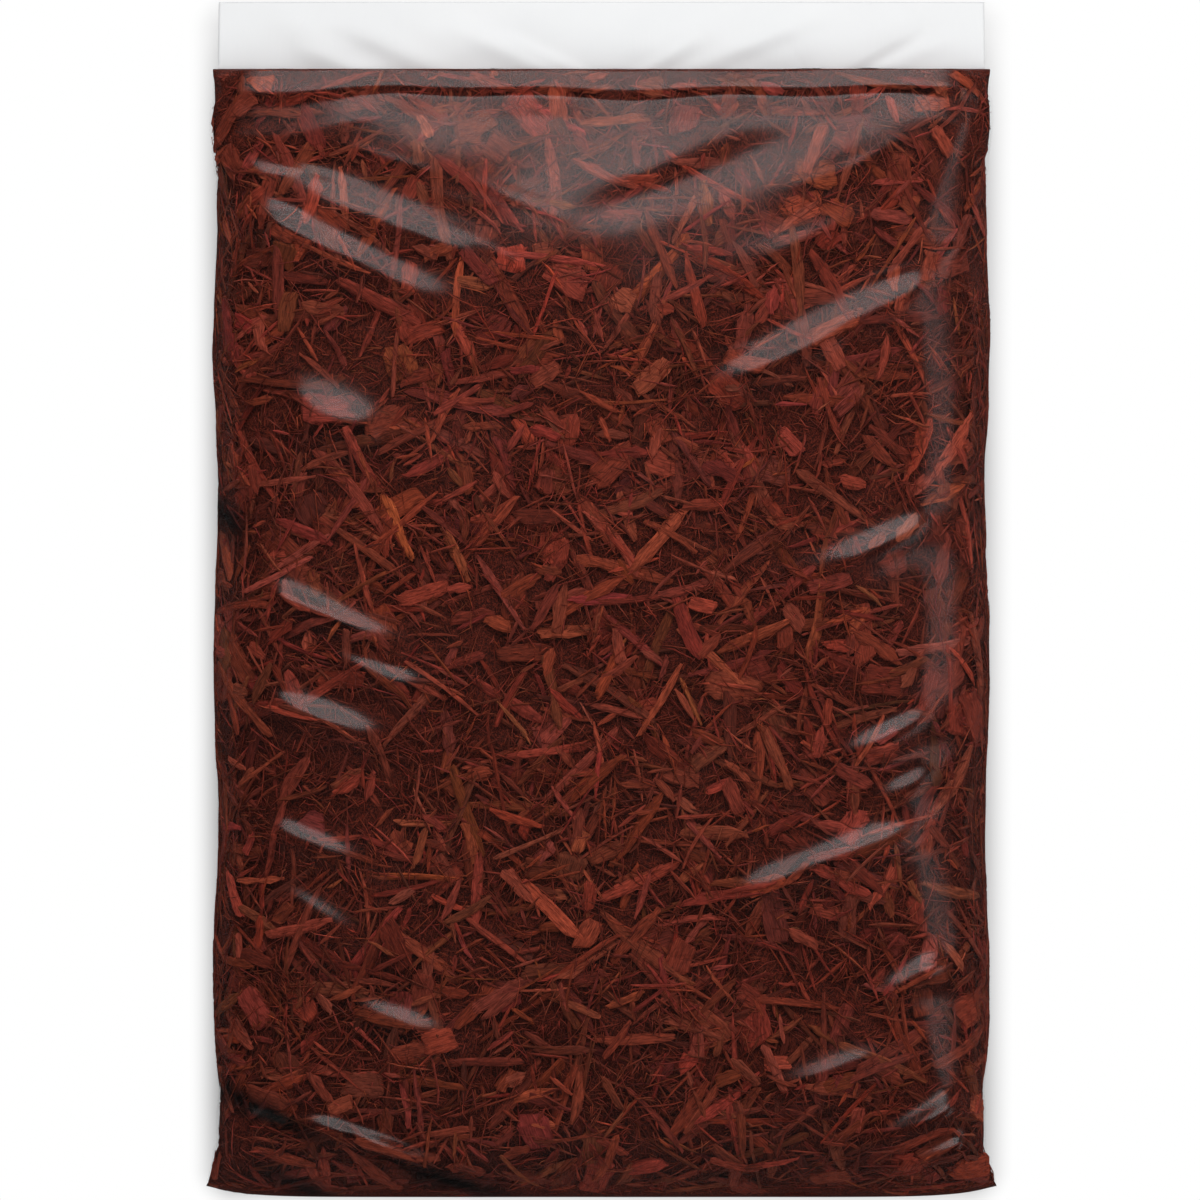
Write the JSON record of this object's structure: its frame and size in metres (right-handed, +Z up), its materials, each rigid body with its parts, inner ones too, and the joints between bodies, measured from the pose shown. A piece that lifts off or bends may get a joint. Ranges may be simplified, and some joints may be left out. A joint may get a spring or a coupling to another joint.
{
  "type": "mulch bag",
  "caption": "Filled, sealed film bag of shredded red wood mulch, with side gussets and a flat unfilled header strip, lying on its back.",
  "frame": {"origin": "on the floor, under the middle of the bag's outline", "axes": "+Z up, out of the front panel; +Y towards the header; +X to the right as the front is seen"},
  "size_m": [0.595, 0.898, 0.1471],
  "materials": {
    "mulch_in_film": "red-brown mulch seen through clear glossy film",
    "red_mulch": "shredded wood dyed red, dull",
    "clear_film": "clear polyethylene film, glossy",
    "header_film": "white polyethylene film, satin"
  },
  "bodies": {
    "root": {"mulch_bag": "mulch_in_film"}
  },
  "joints": []
}
